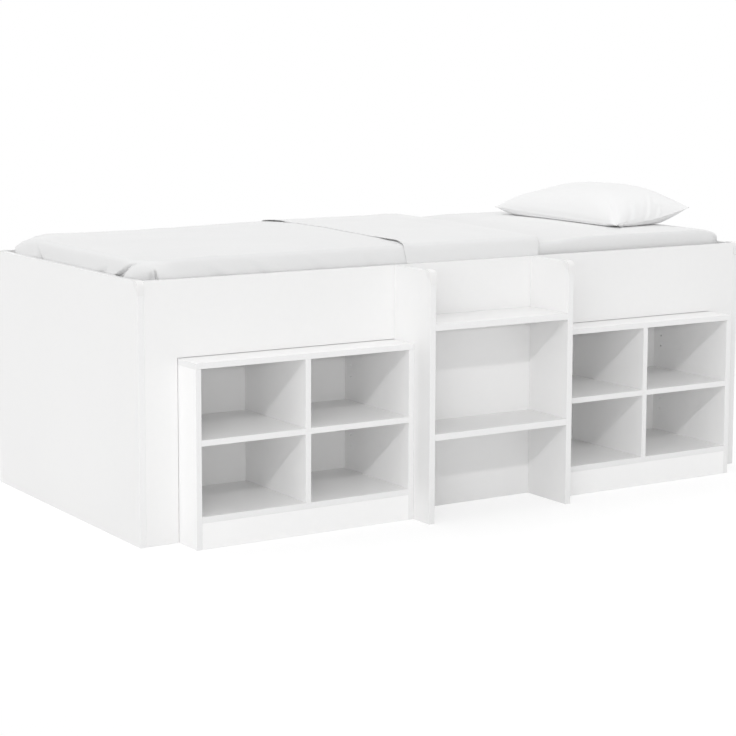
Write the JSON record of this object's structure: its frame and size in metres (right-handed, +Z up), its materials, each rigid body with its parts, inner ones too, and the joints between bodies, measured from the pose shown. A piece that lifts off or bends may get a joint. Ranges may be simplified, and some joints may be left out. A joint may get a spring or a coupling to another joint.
{
  "type": "loft bed",
  "caption": "Low white cabin bed: slatted base behind a front panel, fixed step ladder and pull-out cube bookcases in its cut-outs, made up with mattress, blanket, turned sheet and pillow.",
  "frame": {"origin": "on the floor, at the middle of the plan (centre of the underside of the bounding box)", "axes": "+X along the bed's length towards the pillow, +Y from the front with the ladder towards the back, +Z up"},
  "size_m": [2.0536, 1.134, 0.8601],
  "materials": {
    "white_board": "white satin melamine on particle board",
    "bookcase_board": "white satin melamine on particle board",
    "back_board": "white painted hardboard",
    "cap_plastic": "moulded, satin",
    "pine": "planed, unfinished",
    "zinc_steel": "zinc plated",
    "mattress_fabric": "plain cotton fitted sheet",
    "blanket_fabric": "soft matt cotton",
    "sheet_fabric": "plain woven cotton",
    "pillow_fabric": "plain woven cotton"
  },
  "bodies": {
    "root": {"end_panel_left": "white_board", "end_panel_right": "white_board", "front_panel": "white_board", "back_rail": "white_board", "ladder_side_left": "white_board", "ladder_side_right": "white_board", "ladder_step_lower": "white_board", "ladder_step_upper": "white_board", "corner_cap_left_front": "cap_plastic", "corner_cap_left_back": "cap_plastic", "corner_cap_right_front": "cap_plastic", "corner_cap_right_back": "cap_plastic", "ladder_cap_left": "cap_plastic", "ladder_cap_right": "cap_plastic", "ledger_front": "pine", "ledger_back": "pine", "slat_01": "pine", "slat_02": "pine", "slat_03": "pine", "slat_04": "pine", "slat_05": "pine", "slat_06": "pine", "slat_07": "pine", "slat_08": "pine", "slat_09": "pine", "slat_10": "pine", "slat_11": "pine", "slat_12": "pine", "slat_13": "pine", "slat_14": "pine", "bracket_left_front": "zinc_steel", "bracket_left_back": "zinc_steel", "bracket_right_front": "zinc_steel", "bracket_right_back": "zinc_steel", "mattress": "mattress_fabric", "blanket": "blanket_fabric", "turned_sheet": "sheet_fabric", "pillow": "pillow_fabric"},
    "bookcase_left": {"bookcase_left_top": "bookcase_board", "bookcase_left_base": "bookcase_board", "bookcase_left_side_left": "bookcase_board", "bookcase_left_side_right": "bookcase_board", "bookcase_left_divider": "bookcase_board", "bookcase_left_shelf_left": "bookcase_board", "bookcase_left_shelf_right": "bookcase_board", "bookcase_left_plinth": "bookcase_board", "bookcase_left_back": "back_board"},
    "bookcase_right": {"bookcase_right_top": "bookcase_board", "bookcase_right_base": "bookcase_board", "bookcase_right_side_left": "bookcase_board", "bookcase_right_side_right": "bookcase_board", "bookcase_right_divider": "bookcase_board", "bookcase_right_shelf_left": "bookcase_board", "bookcase_right_shelf_right": "bookcase_board", "bookcase_right_plinth": "bookcase_board", "bookcase_right_back": "back_board"}
  },
  "joints": [
    {"name": "bookcase_left_slide", "type": "slide", "parent": "root", "child": "bookcase_left", "axis": [0, -1, 0], "range_m": [0, 0.235]},
    {"name": "bookcase_right_slide", "type": "slide", "parent": "root", "child": "bookcase_right", "axis": [0, -1, 0], "range_m": [0, 0.235]}
  ]
}
